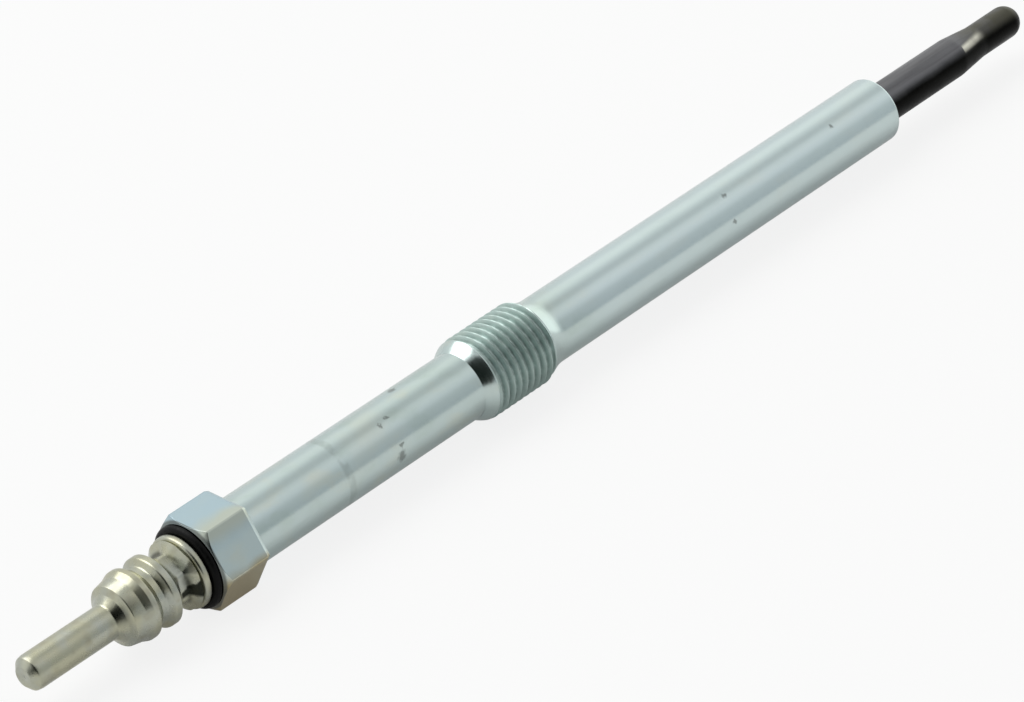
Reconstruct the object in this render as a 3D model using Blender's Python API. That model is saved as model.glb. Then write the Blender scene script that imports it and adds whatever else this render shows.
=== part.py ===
"""Metal-sheathed diesel glow plug with an M10 x 1 thread, lying on its side.

The plug lies along X with its terminal pin towards -X and its hot tip towards +X. It rests on one flat of
its hexagon and on the crests of its thread. Lengths are in metres and +Z is up. The origin lies on the
surface below the middle of the plug's length.
"""

import math

import bmesh
import bpy
from mathutils import Vector

# Clearance between pieces that touch: pressed, screwed or crimped together on the real plug
FIT_GAP = 0.0001

# Terminal cap: a turned piece with a contact pin, two rounded ridges, a crimped waist and a flange
PIN_DIAMETER = 0.0040
PIN_LENGTH = 0.0120
PIN_NOSE_LENGTH = 0.0006
PIN_NOSE_SETBACK = 0.00075
PIN_ROOT_FILLET = 0.0007
COLLAR_DIAMETER = 0.0071
COLLAR_LENGTH = 0.0017
COLLAR_EDGE_RADIUS = 0.0010
RIDGE_DIAMETER = 0.0082
GROOVE_DIAMETER = 0.0065
RIDGE_SLOPE_LENGTH = 0.00125
REAR_RIDGE_LAND = 0.00075
WAIST_DIAMETER = 0.0061
WAIST_SLOPE_LENGTH = 0.0017
WAIST_LENGTH = 0.0008
FLANGE_DIAMETER = 0.0085
FLANGE_SLOPE_LENGTH = 0.0004
FLANGE_THICKNESS = 0.00125
FLANGE_EDGE_RADIUS = 0.00045
CRIMP_ACROSS_FLATS = 0.0054
CRIMP_TURN = math.radians(34.5)
CAP_BORE_DEPTH = 0.0072
DRILL_POINT_ANGLE = math.radians(118.0)

# Insulating washer: a disc between the cap's flange and the hexagon, with a spigot that centres it
WASHER_DIAMETER = 0.00975
WASHER_THICKNESS = 0.0009
WASHER_EDGE_RADIUS = 0.0006
SPIGOT_LENGTH = 0.0020

# Plug body: hexagon, shank, tapered shoulder, thread and front shank, turned from one bar
HEX_ACROSS_FLATS = 0.0100
HEX_LENGTH = 0.0062
HEX_FACE_DIAMETER = 0.0098
HEX_CHAMFER_ANGLE = math.radians(38.0)
HEX_REAR_CHAMFER = 0.0002
HEX_TURN = math.radians(30.0)
BODY_LENGTH = 0.1123
SHANK_DIAMETER = 0.00807
THREAD_DIAMETER = 0.0100
THREAD_PITCH = 0.0010
THREAD_LENGTH = 0.00835
THREAD_FROM_HEX_FACE = 0.0425
SHOULDER_LENGTH = 0.0020
RELIEF_LENGTH = 0.0012
BODY_NOSE_CHAMFER = 0.00035
SEAT_DIAMETER = 0.0060
REAR_BORE_DIAMETER = 0.0039
FRONT_BORE_DIAMETER = 0.0062

# Glow tube: a heat-proof sheath, open at the rear, drawn down to a slimmer round tip
TUBE_DIAMETER = 0.0050
TUBE_TIP_DIAMETER = 0.00408
TUBE_STICKOUT = 0.02695
TUBE_PRESS_LENGTH = 0.0120
TUBE_STRAIGHT_STICKOUT = 0.01455
TUBE_TAPER_LENGTH = 0.0046
TUBE_WALL = 0.0004

# Centre rod: carries the current from the cap through the body and into the tube
ROD_DIAMETER = 0.0033
ROD_NECK_DIAMETER = 0.0022
ROD_NECK_LENGTH = 0.0210
ROD_NOSE_LENGTH = 0.0020

# Coils: the regulating coil sits on the rod's nose and the heating coil ends in the tube's tip
WIRE_DIAMETER = 0.0004
COIL_DIAMETER = 0.0018
REGULATING_COIL_PITCH = 0.0011
REGULATING_COIL_TURNS = 8.0
HEATING_COIL_PITCH = 0.0008
TIP_LEAD_LENGTH = 0.0013
TIP_LEAD_TURNS = 0.375
TIP_TAIL_LENGTH = 0.0005

# Seals: a rubber plug in the tube's rear end and a rubber ring below the insulating washer
SEAL_LENGTH = 0.0030

# Facets round each kind of piece and steps along its curves
BODY_FACETS = 36
THREAD_FACETS = 28
CAP_FACETS = 32
TUBE_FACETS = 28
ROD_FACETS = 16
HEXAGON_SIDES = 6
COIL_STEPS_PER_TURN = 8
FILLET_STEPS = 3
DOME_STEPS = 4
RIDGE_STEPS = 4
SHOULDER_STEPS = 5
SEAL_RING_STEPS = 10

# Edges sharper than these angles stay sharp when a piece is shaded
SHARP_EDGE = math.radians(35.0)
BODY_SHARP_EDGE = math.radians(25.0)
WIRE_SHARP_EDGE = math.radians(70.0)
SEAL_RING_SHARP_EDGE = math.radians(80.0)

# Standard thread form: sixty degree flanks, crest flat of an eighth and root flat of a quarter pitch
THREAD_DEPTH = 0.6134 * THREAD_PITCH
FLANK_ANGLE = math.radians(30.0)
CREST_WIDTH = THREAD_PITCH / 8
ROOT_WIDTH = THREAD_PITCH / 4
RUNOUT_LENGTH = THREAD_DEPTH
FOOT_DEPTH = THREAD_DEPTH / 4
SPARE_TURNS = 2.5

# How far cutters reach past the piece they cut
CUTTER_REACH = 0.0020

# Places along the plug, measured from the pin's end face
HEAD_AT = PIN_LENGTH
RIDGE_1_AT = HEAD_AT + COLLAR_LENGTH + RIDGE_SLOPE_LENGTH
GROOVE_AT = RIDGE_1_AT + RIDGE_SLOPE_LENGTH
RIDGE_2_AT = GROOVE_AT + RIDGE_SLOPE_LENGTH
WAIST_AT = RIDGE_2_AT + REAR_RIDGE_LAND + WAIST_SLOPE_LENGTH
FLANGE_AT = WAIST_AT + WAIST_LENGTH + FLANGE_SLOPE_LENGTH
WASHER_AT = FLANGE_AT + FLANGE_THICKNESS
BODY_AT = WASHER_AT + WASHER_THICKNESS
HEX_END = BODY_AT + HEX_LENGTH
THREAD_AT = BODY_AT + THREAD_FROM_HEX_FACE
THREAD_END = THREAD_AT + THREAD_LENGTH
BODY_END = BODY_AT + BODY_LENGTH
TUBE_AT = BODY_END - TUBE_PRESS_LENGTH
TAPER_AT = BODY_END + TUBE_STRAIGHT_STICKOUT
TAPER_END = TAPER_AT + TUBE_TAPER_LENGTH
TOTAL_LENGTH = BODY_END + TUBE_STICKOUT
DOME_AT = TOTAL_LENGTH - TUBE_TIP_DIAMETER / 2
ROD_AT = WASHER_AT - CAP_BORE_DEPTH + FIT_GAP
ROD_NECK_AT = TUBE_AT - FIT_GAP
ROD_NOSE_AT = ROD_NECK_AT + ROD_NECK_LENGTH
SEAL_END = TUBE_AT + SEAL_LENGTH
FILLING_AT = SEAL_END + FIT_GAP
WIRE_RADIUS = WIRE_DIAMETER / 2
COIL_RADIUS = COIL_DIAMETER / 2
REGULATING_COIL_AT = ROD_NOSE_AT + WIRE_RADIUS + FIT_GAP
REGULATING_COIL_END = REGULATING_COIL_AT + REGULATING_COIL_PITCH * REGULATING_COIL_TURNS
TIP_END = TOTAL_LENGTH - TUBE_WALL - FIT_GAP
HEATING_COIL_END = TIP_END - TIP_TAIL_LENGTH - TIP_LEAD_LENGTH
HALF_SIDE_ANGLE = math.pi / HEXAGON_SIDES
AXIS_HEIGHT = HEX_ACROSS_FLATS / 2


def clear_scene():
    """Take away whatever the scene held before."""
    for item in list(bpy.data.objects):
        bpy.data.objects.remove(item, do_unlink=True)


def material(name, colour, roughness, metallic):
    """Give a plain finish for one piece."""
    surface = bpy.data.materials.new(name)
    surface.use_nodes = True
    shader = surface.node_tree.nodes["Principled BSDF"]
    shader.inputs["Base Color"].default_value = (*colour, 1.0)
    shader.inputs["Roughness"].default_value = roughness
    shader.inputs["Metallic"].default_value = metallic
    surface.diffuse_color = (*colour, 1.0)
    return surface


def add_object(name, bm):
    """Turn mesh data into an object whose own axis is the plug's axis."""
    bmesh.ops.recalc_face_normals(bm, faces=bm.faces)
    mesh = bpy.data.meshes.new(name)
    bm.to_mesh(mesh)
    bm.free()
    item = bpy.data.objects.new(name, mesh)
    bpy.context.collection.objects.link(item)
    item.location = (-TOTAL_LENGTH / 2, 0.0, AXIS_HEIGHT)
    return item


def turned(name, profile, facets, ring=False, turn=0.0):
    """Spin a profile of (place, radius) points round the plug's axis.

    An open profile starts and ends on the axis, and a ring's profile closes on itself.
    """
    bm = bmesh.new()
    side = Vector((0.0, -math.sin(turn), math.cos(turn)))
    points = [bm.verts.new(Vector((place, 0.0, 0.0)) + radius * side) for place, radius in profile]
    edges = [bm.edges.new(pair) for pair in zip(points, points[1:])]
    if ring:
        edges.append(bm.edges.new((points[-1], points[0])))
    bmesh.ops.spin(bm, geom=points + edges, cent=(0, 0, 0), axis=(1, 0, 0), angle=2 * math.pi,
                   steps=facets, use_merge=True)
    bmesh.ops.remove_doubles(bm, verts=bm.verts, dist=1e-6)
    return add_object(name, bm)


def arc(centre, radius, start, end, steps):
    """Points on an arc of the profile; angles run from the +X direction outwards."""
    turns = [start + (end - start) * i / steps for i in range(steps + 1)]
    return [(centre[0] + radius * math.cos(a), centre[1] + radius * math.sin(a)) for a in turns]


def wave(start, end, steps):
    """Points of a smooth rise or fall between two levels, without its first point."""
    length = end[0] - start[0]
    rise = end[1] - start[1]
    shares = [i / steps for i in range(1, steps + 1)]
    return [(start[0] + length * t, start[1] + rise * (1 - math.cos(math.pi * t)) / 2) for t in shares]


def combine(item, operation, tool):
    """Cut or join a tool into an object, and keep the tool as a guide only."""
    step = item.modifiers.new(f"{operation.lower()}_{tool.name}", "BOOLEAN")
    step.operation = operation
    step.object = tool
    step.solver = "EXACT"
    tool.hide_render = True
    tool.display_type = "WIRE"


def finish(item, surface, edge_angle=SHARP_EDGE):
    """Shade a piece smooth up to its sharp edges and give it its surface."""
    item.data.shade_smooth()
    item.data.set_sharp_from_angle(angle=edge_angle)
    item.data.materials.append(surface)


def terminal_cap(surface):
    """Contact pin, ridged head, crimped waist and flange in one turned piece with a blind rear bore."""
    pin = PIN_DIAMETER / 2
    collar = COLLAR_DIAMETER / 2
    ridge = RIDGE_DIAMETER / 2
    waist = WAIST_DIAMETER / 2
    flange = FLANGE_DIAMETER / 2
    bore = ROD_DIAMETER / 2 + FIT_GAP
    bore_end = WASHER_AT - CAP_BORE_DEPTH
    collar_edge = (HEAD_AT + COLLAR_EDGE_RADIUS, collar - COLLAR_EDGE_RADIUS)
    root = (HEAD_AT - PIN_ROOT_FILLET, pin + PIN_ROOT_FILLET)
    ridge_1 = (RIDGE_1_AT, ridge)
    groove = (GROOVE_AT, GROOVE_DIAMETER / 2)
    ridge_2 = (RIDGE_2_AT, ridge)
    edge = FLANGE_EDGE_RADIUS

    nose = arc((0.0, 0.0), 1.0, math.pi, math.pi / 2, FILLET_STEPS)
    profile = [(0.0, 0.0)]
    profile += [(PIN_NOSE_LENGTH * (1 + x), pin - PIN_NOSE_SETBACK * (1 - y)) for x, y in nose]
    profile += arc(root, PIN_ROOT_FILLET, math.radians(-90), 0.0, FILLET_STEPS)
    profile += arc(collar_edge, COLLAR_EDGE_RADIUS, math.pi, math.pi / 2, FILLET_STEPS)
    profile += [(HEAD_AT + COLLAR_LENGTH, collar)]
    profile += wave(profile[-1], ridge_1, RIDGE_STEPS)
    profile += wave(ridge_1, groove, RIDGE_STEPS)
    profile += wave(groove, ridge_2, RIDGE_STEPS)
    profile += [(RIDGE_2_AT + REAR_RIDGE_LAND, ridge)]
    profile += [(WAIST_AT, waist), (WAIST_AT + WAIST_LENGTH, waist)]
    profile += arc((FLANGE_AT + edge, flange - edge), edge, math.pi, math.pi / 2, FILLET_STEPS)
    profile += arc((WASHER_AT - edge, flange - edge), edge, math.pi / 2, 0.0, FILLET_STEPS)
    profile += [(WASHER_AT, bore), (bore_end, bore)]
    profile += [(bore_end - bore / math.tan(DRILL_POINT_ANGLE / 2), 0.0)]
    cap = turned("terminal_cap", profile, CAP_FACETS)

    jaw_start = RIDGE_2_AT + REAR_RIDGE_LAND
    jaw_end = WAIST_AT + WAIST_LENGTH
    corner = CRIMP_ACROSS_FLATS / 2 / math.cos(HALF_SIDE_ANGLE)
    mouth = ridge / math.cos(HALF_SIDE_ANGLE)
    outside = mouth + CUTTER_REACH
    jaw = [(jaw_start, mouth), (jaw_end, corner), (jaw_end, outside), (jaw_start, outside)]
    combine(cap, "DIFFERENCE", turned("crimp_jaw", jaw, HEXAGON_SIDES, ring=True, turn=CRIMP_TURN))
    finish(cap, surface)
    return cap


def insulating_washer(surface):
    """Black disc with a spigot that reaches into the body's seat round the centre rod."""
    outer = WASHER_DIAMETER / 2
    spigot = SEAT_DIAMETER / 2 - FIT_GAP
    hole = ROD_DIAMETER / 2 + FIT_GAP
    edge = WASHER_EDGE_RADIUS
    start = WASHER_AT + FIT_GAP
    end = BODY_AT - FIT_GAP
    profile = [(start, hole)]
    profile += arc((start + edge, outer - edge), edge, math.pi, math.pi / 2, FILLET_STEPS)
    profile += [(end, outer), (end, spigot)]
    profile += [(BODY_AT + SPIGOT_LENGTH, spigot), (BODY_AT + SPIGOT_LENGTH, hole)]
    washer = turned("insulating_washer", profile, CAP_FACETS, ring=True)
    finish(washer, surface)
    return washer


def body_seal_ring(surface):
    """Rubber ring squeezed between the washer's spigot, the body's seat and the centre rod."""
    inner = ROD_DIAMETER / 2 + FIT_GAP
    outer = SEAT_DIAMETER / 2 - FIT_GAP
    radius = (outer - inner) / 2
    centre = (BODY_AT + SPIGOT_LENGTH + FIT_GAP + radius, (inner + outer) / 2)
    profile = arc(centre, radius, 0.0, 2 * math.pi, SEAL_RING_STEPS)[:-1]
    ring = turned("body_seal_ring", profile, ROD_FACETS, ring=True)
    finish(ring, surface, SEAL_RING_SHARP_EDGE)
    return ring


def thread_ridge():
    """One tooth of the thread, swept as a right-hand helix and closed at both ends.

    Its facets touch the true cylinders at their middles, and one of them faces the surface below.
    """
    crest = THREAD_DIAMETER / 2
    root = crest - THREAD_DEPTH
    foot = root - FOOT_DEPTH
    half_foot = (THREAD_PITCH - ROOT_WIDTH) / 2 + FOOT_DEPTH * math.tan(FLANK_ANGLE)
    half_crest = CREST_WIDTH / 2
    section = [(-half_foot, foot), (-half_crest, crest), (half_crest, crest), (half_foot, foot)]
    start = THREAD_AT - THREAD_PITCH
    corner = 1 / math.cos(math.pi / THREAD_FACETS)
    steps = round((THREAD_LENGTH / THREAD_PITCH + SPARE_TURNS) * THREAD_FACETS)
    bm = bmesh.new()
    rings = []
    for i in range(steps + 1):
        turn = 2 * math.pi * (i + 0.5) / THREAD_FACETS
        advance = start + THREAD_PITCH * i / THREAD_FACETS
        outwards = Vector((0.0, math.cos(turn), math.sin(turn))) * corner
        rings.append([bm.verts.new(Vector((advance + along, 0.0, 0.0)) + radius * outwards)
                      for along, radius in section])
    for before, after in zip(rings, rings[1:]):
        sides = zip(before, before[1:] + before[:1], after[1:] + after[:1], after)
        for corners in sides:
            bm.faces.new(corners)
    bm.faces.new(rings[0])
    bm.faces.new(reversed(rings[-1]))
    return add_object("thread_ridge", bm)


def plug_body(surface):
    """Hexagon, shank, shoulder, thread and front shank as one steel piece with a stepped bore."""
    shank = SHANK_DIAMETER / 2
    crest = THREAD_DIAMETER / 2
    root = crest - THREAD_DEPTH
    chamfer = BODY_NOSE_CHAMFER
    relief_at = THREAD_END + THREAD_DEPTH + FOOT_DEPTH
    shoulder = (THREAD_AT - SHOULDER_LENGTH, shank)
    profile = [(HEX_END - HEX_LENGTH / 2, 0.0), (HEX_END - HEX_LENGTH / 2, shank), shoulder]
    profile += wave(shoulder, (THREAD_AT, crest), SHOULDER_STEPS)
    profile += [(THREAD_AT + RUNOUT_LENGTH, root), (relief_at, root), (relief_at + RELIEF_LENGTH, shank)]
    profile += [(BODY_END - chamfer, shank), (BODY_END, shank - chamfer), (BODY_END, 0.0)]
    body = turned("plug_body", profile, BODY_FACETS, turn=math.pi / BODY_FACETS)

    ridge = thread_ridge()
    start = THREAD_AT + RUNOUT_LENGTH / 4
    above = crest + THREAD_DEPTH
    below = root - THREAD_DEPTH / 2
    rear_end = THREAD_END + crest
    envelope = [(start, 0.0), (start, above), (rear_end - above, above)]
    envelope += [(rear_end - below, below), (rear_end - below, 0.0)]
    combine(ridge, "INTERSECT", turned("thread_envelope", envelope, BODY_FACETS))
    combine(body, "UNION", ridge)

    corner = HEX_ACROSS_FLATS / 2 / math.cos(HALF_SIDE_ANGLE)
    block = [(BODY_AT, 0.0), (BODY_AT, corner), (HEX_END, corner), (HEX_END, 0.0)]
    hexagon = turned("hexagon", block, HEXAGON_SIDES, turn=HEX_TURN)
    wide = corner + HEX_REAR_CHAMFER
    face = HEX_FACE_DIAMETER / 2
    slope = math.tan(HEX_CHAMFER_ANGLE)
    before = BODY_AT - CUTTER_REACH
    after = HEX_END + CUTTER_REACH
    chamfers = [(before, 0.0), (before, face - CUTTER_REACH / slope)]
    chamfers += [(BODY_AT + (wide - face) * slope, wide), (HEX_END - 2 * HEX_REAR_CHAMFER, wide)]
    chamfers += [(after, wide - 2 * HEX_REAR_CHAMFER - CUTTER_REACH), (after, 0.0)]
    combine(hexagon, "INTERSECT", turned("hexagon_chamfers", chamfers, BODY_FACETS))
    combine(body, "UNION", hexagon)

    seat = SEAT_DIAMETER / 2
    rear_bore = REAR_BORE_DIAMETER / 2
    front_bore = FRONT_BORE_DIAMETER / 2
    press = TUBE_DIAMETER / 2 + FIT_GAP
    seat_end = BODY_AT + SPIGOT_LENGTH + 2 * FIT_GAP + seat - ROD_DIAMETER / 2
    press_at = TUBE_AT - FIT_GAP
    bores = [(before, 0.0), (before, seat), (seat_end, seat), (seat_end, rear_bore)]
    bores += [(THREAD_END, rear_bore), (THREAD_END + front_bore - rear_bore, front_bore)]
    bores += [(press_at, front_bore), (press_at, press)]
    bores += [(BODY_END + CUTTER_REACH, press), (BODY_END + CUTTER_REACH, 0.0)]
    combine(body, "DIFFERENCE", turned("body_bores", bores, TUBE_FACETS))
    finish(body, surface, BODY_SHARP_EDGE)
    return body


def tube_outline(start, inset):
    """Outline of the glow tube from a place along it to its tip, moved inwards by an inset."""
    tip = TUBE_TIP_DIAMETER / 2
    wide = TUBE_DIAMETER / 2
    points = [(start, wide - inset), (TAPER_AT, wide - inset), (TAPER_END, tip - inset)]
    points += arc((DOME_AT, 0.0), tip - inset, math.pi / 2, 0.0, DOME_STEPS)[:-1]
    return points + [(DOME_AT + tip - inset, 0.0)]


def glow_tube(surface):
    """Sheath with an open rear end, a drawn taper and a round closed tip."""
    inside = tube_outline(TUBE_AT, TUBE_WALL)
    outside = tube_outline(TUBE_AT, 0.0)
    tube = turned("glow_tube", list(reversed(inside)) + outside, TUBE_FACETS)
    finish(tube, surface)
    return tube


def centre_rod(surface):
    """Steel rod from the cap's bore to the regulating coil, with a slimmer front end."""
    rod = ROD_DIAMETER / 2
    neck = ROD_NECK_DIAMETER / 2
    nose = COIL_RADIUS - WIRE_RADIUS - FIT_GAP
    nose_end = ROD_NOSE_AT + ROD_NOSE_LENGTH
    profile = [(ROD_AT, 0.0), (ROD_AT, rod), (ROD_NECK_AT - (rod - neck), rod), (ROD_NECK_AT, neck)]
    profile += [(ROD_NOSE_AT, neck), (ROD_NOSE_AT, nose), (nose_end, nose), (nose_end, 0.0)]
    item = turned("centre_rod", profile, ROD_FACETS)
    finish(item, surface)
    return item


def element_seal(surface):
    """Rubber plug that closes the tube's rear end round the rod."""
    outer = TUBE_DIAMETER / 2 - TUBE_WALL - FIT_GAP
    inner = ROD_NECK_DIAMETER / 2 + FIT_GAP
    profile = [(TUBE_AT, inner), (TUBE_AT, outer), (SEAL_END, outer), (SEAL_END, inner)]
    seal = turned("element_seal", profile, ROD_FACETS, ring=True)
    finish(seal, surface)
    return seal


def coil_place(place, turn, radius):
    """Point of a wire at a place along the plug, on a right-hand helix."""
    return Vector((place, radius * math.cos(turn), radius * math.sin(turn)))


def regulating_coil_route(margin=0.0):
    """Middle of the regulating coil's wire, from the rod's nose to the heating coil."""
    steps = round(REGULATING_COIL_TURNS * COIL_STEPS_PER_TURN)
    route = []
    for i in range(steps + 1):
        turn = 2 * math.pi * i / COIL_STEPS_PER_TURN
        place = REGULATING_COIL_AT + REGULATING_COIL_PITCH * i / COIL_STEPS_PER_TURN
        route.append(coil_place(place, turn, COIL_RADIUS))
    if margin:
        route[0] = route[0] + (route[0] - route[1]).normalized() * margin
        route[-1] = route[-1] + (route[-1] - route[-2]).normalized() * margin
    return route


def heating_coil_route(margin=0.0):
    """Middle of the heating coil's wire, which spirals in at the end and runs into the tip."""
    first_turn = 2 * math.pi * REGULATING_COIL_TURNS
    length = HEATING_COIL_END - REGULATING_COIL_END
    sweep = 2 * math.pi * length / HEATING_COIL_PITCH
    steps = round(length / HEATING_COIL_PITCH * COIL_STEPS_PER_TURN)
    route = []
    for i in range(1, steps + 1):
        share = i / steps
        place = REGULATING_COIL_END + length * share
        route.append(coil_place(place, first_turn + sweep * share, COIL_RADIUS))
    for i in range(1, COIL_STEPS_PER_TURN + 1):
        share = i / COIL_STEPS_PER_TURN
        radius = COIL_RADIUS * (1 + math.cos(math.pi * share)) / 2
        turn = first_turn + sweep + 2 * math.pi * TIP_LEAD_TURNS * share * (2 - share)
        route.append(coil_place(HEATING_COIL_END + TIP_LEAD_LENGTH * share, turn, radius))
    route.append(Vector((TIP_END + margin, 0.0, 0.0)))
    return route


def wire(name, route, radius):
    """Round wire along a route, as a closed mesh with flat ends."""
    curve = bpy.data.curves.new(name, "CURVE")
    curve.dimensions = "3D"
    curve.bevel_depth = radius
    curve.bevel_resolution = 1
    curve.use_fill_caps = True
    curve.twist_mode = "MINIMUM"
    spline = curve.splines.new("POLY")
    spline.points.add(len(route) - 1)
    for point, place in zip(spline.points, route):
        point.co = (*place, 1.0)
    guide = bpy.data.objects.new(f"{name}_route", curve)
    bpy.context.collection.objects.link(guide)
    bpy.context.view_layer.update()
    swept = guide.evaluated_get(bpy.context.evaluated_depsgraph_get())
    bm = bmesh.new()
    bm.from_mesh(swept.to_mesh())
    swept.to_mesh_clear()
    bpy.data.objects.remove(guide, do_unlink=True)
    bmesh.ops.remove_doubles(bm, verts=bm.verts, dist=1e-6)
    return add_object(name, bm)


def regulating_coil(surface):
    """Coil that limits the current once it is hot; welded to the rod's nose and to the heating coil."""
    coil = wire("regulating_coil", regulating_coil_route(), WIRE_RADIUS)
    finish(coil, surface, WIRE_SHARP_EDGE)
    return coil


def heating_coil(surface):
    """Coil that glows; welded to the regulating coil and to the inside of the tube's tip."""
    coil = wire("heating_coil", heating_coil_route(), WIRE_RADIUS)
    finish(coil, surface, WIRE_SHARP_EDGE)
    return coil


def magnesia_filling(surface):
    """Pressed powder that fills the tube round the rod and both coils."""
    inset = TUBE_WALL + FIT_GAP
    outline = [(FILLING_AT, 0.0)] + tube_outline(FILLING_AT, inset)
    filling = turned("magnesia_filling", outline, TUBE_FACETS)
    neck = ROD_NECK_DIAMETER / 2 + FIT_GAP
    nose = COIL_RADIUS - WIRE_RADIUS
    pocket_end = ROD_NOSE_AT + FIT_GAP
    nose_end = ROD_NOSE_AT + ROD_NOSE_LENGTH + FIT_GAP
    pocket = [(FILLING_AT - CUTTER_REACH, 0.0), (FILLING_AT - CUTTER_REACH, neck), (pocket_end, neck)]
    pocket += [(pocket_end, nose), (nose_end, nose), (nose_end, 0.0)]
    combine(filling, "DIFFERENCE", turned("rod_pocket", pocket, ROD_FACETS))
    room = WIRE_RADIUS + FIT_GAP
    combine(filling, "DIFFERENCE", wire("regulating_coil_room", regulating_coil_route(FIT_GAP), room))
    combine(filling, "DIFFERENCE", wire("heating_coil_room", heating_coil_route(CUTTER_REACH), room))
    finish(filling, surface)
    return filling


def build():
    """Make every piece of the plug and hang them all on one empty."""
    clear_scene()
    zinc = material("bluish_zinc_plate", (0.52, 0.58, 0.60), 0.33, 1.0)
    nickel = material("olive_nickel_plate", (0.50, 0.50, 0.40), 0.35, 1.0)
    sheath = material("dark_heat_proof_alloy", (0.13, 0.12, 0.11), 0.40, 1.0)
    black = material("black_moulded_plastic", (0.010, 0.010, 0.010), 0.45, 0.0)
    steel = material("bright_steel", (0.45, 0.44, 0.42), 0.35, 1.0)
    alloy = material("resistance_wire", (0.40, 0.36, 0.32), 0.40, 1.0)
    powder = material("white_pressed_powder", (0.80, 0.79, 0.75), 0.90, 0.0)
    rubber = material("dark_rubber", (0.03, 0.03, 0.03), 0.70, 0.0)
    pieces = [
        terminal_cap(nickel),
        insulating_washer(black),
        body_seal_ring(rubber),
        plug_body(zinc),
        centre_rod(steel),
        element_seal(rubber),
        glow_tube(sheath),
        regulating_coil(alloy),
        heating_coil(alloy),
        magnesia_filling(powder),
    ]
    plug = bpy.data.objects.new("glow_plug", None)
    bpy.context.collection.objects.link(plug)
    for piece in pieces:
        piece.parent = plug


build()
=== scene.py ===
"""Diesel glow plug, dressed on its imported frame: a long zinc-plated body with a hexagon and a fine
thread, a ridged terminal cap over a black washer, and a dark heat-proof sheath with a slim round tip.

Lengths are in metres in the frame's own axes: the plug lies along X, pin towards -X, and +Z is up.
"""

import math

import bmesh
import bpy
from mathutils import Matrix, Vector


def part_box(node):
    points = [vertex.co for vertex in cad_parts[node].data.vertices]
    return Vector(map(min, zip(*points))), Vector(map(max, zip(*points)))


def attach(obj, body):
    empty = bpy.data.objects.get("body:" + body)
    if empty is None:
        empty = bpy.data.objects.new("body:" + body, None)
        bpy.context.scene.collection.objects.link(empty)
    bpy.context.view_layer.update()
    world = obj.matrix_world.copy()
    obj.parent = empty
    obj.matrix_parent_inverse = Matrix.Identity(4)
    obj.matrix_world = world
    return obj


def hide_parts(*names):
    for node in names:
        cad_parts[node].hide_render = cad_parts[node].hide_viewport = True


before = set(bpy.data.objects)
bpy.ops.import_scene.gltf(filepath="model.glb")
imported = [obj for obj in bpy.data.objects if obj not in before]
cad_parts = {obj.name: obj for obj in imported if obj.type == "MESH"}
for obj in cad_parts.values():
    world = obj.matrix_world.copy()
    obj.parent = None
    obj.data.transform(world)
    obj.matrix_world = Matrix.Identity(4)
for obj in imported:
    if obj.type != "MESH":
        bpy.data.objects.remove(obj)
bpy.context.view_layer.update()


# Camera. It looks down on the plug from the pin's end, so the pin comes out large at the lower left and
# the tip small at the upper right. The plug's axis lies half way up the hexagon's flats.
body_low, body_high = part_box("plug_body")
cap_low, cap_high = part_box("terminal_cap")
AXIS_HEIGHT = (body_low.z + body_high.z) / 2
PIN_END = cap_low.x
PICTURE_WIDTH = 1024
SENSOR_WIDTH = 36.0
FOCAL_LENGTH_PIXELS = 4360.0
VIEW_FROM_AXIS = math.radians(54.5)
VIEW_TILT = math.radians(40.5)
VIEW_ROLL = math.radians(33.74)
VIEW_DISTANCE = 0.4786
NEAREST_SEEN = 0.01
AIM = Vector((PIN_END + 0.0723, 0.0, AXIS_HEIGHT))

toward_camera = Vector((
    -math.cos(VIEW_FROM_AXIS),
    -math.sin(VIEW_FROM_AXIS) * math.cos(VIEW_TILT),
    math.sin(VIEW_FROM_AXIS) * math.sin(VIEW_TILT),
))
along_plug = Vector((1.0, 0.0, 0.0))
plug_in_view = (along_plug - along_plug.dot(toward_camera) * toward_camera).normalized()
view_right = Matrix.Rotation(-VIEW_ROLL, 3, toward_camera) @ plug_in_view
view_up = toward_camera.cross(view_right)
camera_data = bpy.data.cameras.new("product_camera")
camera_data.sensor_width = SENSOR_WIDTH
camera_data.lens = FOCAL_LENGTH_PIXELS * SENSOR_WIDTH / PICTURE_WIDTH
camera_data.clip_start = NEAREST_SEEN
camera = bpy.data.objects.new("product_camera", camera_data)
placing = Matrix((view_right, view_up, toward_camera)).transposed().to_4x4()
placing.translation = AIM + toward_camera * VIEW_DISTANCE
camera.matrix_world = placing
bpy.context.collection.objects.link(camera)
bpy.context.scene.camera = camera
bpy.context.scene.view_settings.view_transform = "Standard"


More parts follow.
